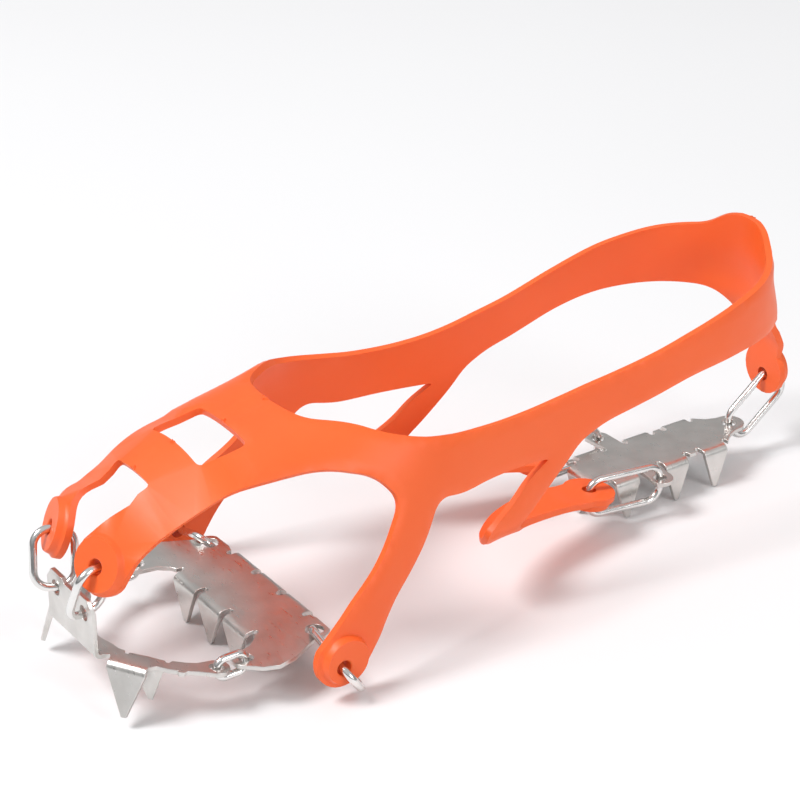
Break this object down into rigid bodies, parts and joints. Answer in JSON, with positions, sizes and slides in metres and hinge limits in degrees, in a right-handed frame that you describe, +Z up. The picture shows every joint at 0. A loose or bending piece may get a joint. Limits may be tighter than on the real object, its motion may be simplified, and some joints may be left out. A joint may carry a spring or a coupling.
{
  "type": "shoe ice cleats",
  "caption": "Slip-on ice cleats: a moulded elastic harness that stretches over a shoe and carries toothed steel plates on wire rings under the toe, ball and heel.",
  "frame": {"origin": "on the ground below the middle of the object's bounding box, the teeth standing on z = 0", "axes": "+X to the side nearer the camera, +Y from toe to heel, +Z up"},
  "size_m": [0.132, 0.3395, 0.1074],
  "materials": {
    "harness_rubber": "satin moulded elastomer, orange",
    "polished_wire": "bright drawn wire",
    "stamped_steel": "satin stamped sheet"
  },
  "bodies": {
    "harness": {"harness": "harness_rubber"},
    "toe_ring_right": {"toe_ring_right": "polished_wire"},
    "toe_ring_left": {"toe_ring_left": "polished_wire"},
    "toe_frame": {"toe_frame": "stamped_steel"},
    "link_right": {"link_right": "polished_wire"},
    "link_left": {"link_left": "polished_wire"},
    "ball_plate": {"ball_plate": "stamped_steel"},
    "side_ring_right": {"side_ring_right": "polished_wire"},
    "side_ring_left": {"side_ring_left": "polished_wire"},
    "arch_ring_right": {"arch_ring_right": "polished_wire"},
    "arch_ring_left": {"arch_ring_left": "polished_wire"},
    "heel_plate": {"heel_plate": "stamped_steel"},
    "rear_ring": {"rear_ring": "polished_wire"}
  },
  "joints": [
    {"name": "toe_ring_right_swivel", "type": "hinge", "parent": "harness", "child": "toe_ring_right", "pos_m": [0.01618, -0.15697, 0.05773], "axis": [-0.2689, -0.1954, -0.9431], "range_deg": [-8, 8]},
    {"name": "toe_ring_left_swivel", "type": "hinge", "parent": "harness", "child": "toe_ring_left", "pos_m": [-0.01618, -0.15697, 0.05773], "axis": [0.2689, -0.1954, -0.9431], "range_deg": [-8, 8]},
    {"name": "toe_frame_tilt", "type": "hinge", "parent": "harness", "child": "toe_frame", "pos_m": [0, -0.1611, 0.0378], "axis": [1, 0, 0], "range_deg": [-2.1, 0]},
    {"name": "ball_plate_level", "type": "hinge", "parent": "toe_frame", "child": "ball_plate", "pos_m": [0, -0.1202, 0.0163], "axis": [1, 0, 0], "range_deg": [0, 2.1]},
    {"name": "link_right_swivel", "type": "hinge", "parent": "toe_frame", "child": "link_right", "pos_m": [0.0395, -0.1202, 0.0163], "axis": [0, 1, 0], "range_deg": [-12, 12]},
    {"name": "link_left_swivel", "type": "hinge", "parent": "toe_frame", "child": "link_left", "pos_m": [-0.0395, -0.1202, 0.0163], "axis": [0, 1, 0], "range_deg": [-12, 12]},
    {"name": "side_ring_right_drop", "type": "hinge", "parent": "harness", "child": "side_ring_right", "pos_m": [0.0589, -0.08714, 0.0146], "axis": [0, 1, 0], "range_deg": [-4.01, 0]},
    {"name": "side_ring_left_drop", "type": "hinge", "parent": "harness", "child": "side_ring_left", "pos_m": [-0.0589, -0.08714, 0.0146], "axis": [0, 1, 0], "range_deg": [0, 4.01]},
    {"name": "heel_plate_tilt", "type": "hinge", "parent": "harness", "child": "heel_plate", "pos_m": [0, 0.0884, 0.0163], "axis": [1, 0, 0], "range_deg": [-1.2, 0]},
    {"name": "arch_ring_right_swivel", "type": "hinge", "parent": "harness", "child": "arch_ring_right", "pos_m": [0.01691, 0.05494, 0.01785], "axis": [0.0917, 0.9947, -0.0461], "range_deg": [-8, 8]},
    {"name": "arch_ring_left_swivel", "type": "hinge", "parent": "harness", "child": "arch_ring_left", "pos_m": [-0.01691, 0.05494, 0.01785], "axis": [-0.0917, 0.9947, -0.0461], "range_deg": [-8, 8]},
    {"name": "rear_ring_swing", "type": "hinge", "parent": "harness", "child": "rear_ring", "pos_m": [0, 0.1606, 0.03481], "axis": [1, 0, 0], "range_deg": [0, 1.8]}
  ],
  "couplings": [
    {"joint": "ball_plate_level", "follows": "toe_frame_tilt", "ratio": -1},
    {"joint": "side_ring_right_drop", "follows": "toe_frame_tilt", "ratio": 1.9019},
    {"joint": "side_ring_left_drop", "follows": "toe_frame_tilt", "ratio": -1.9019},
    {"joint": "rear_ring_swing", "follows": "heel_plate_tilt", "ratio": -1.5}
  ]
}
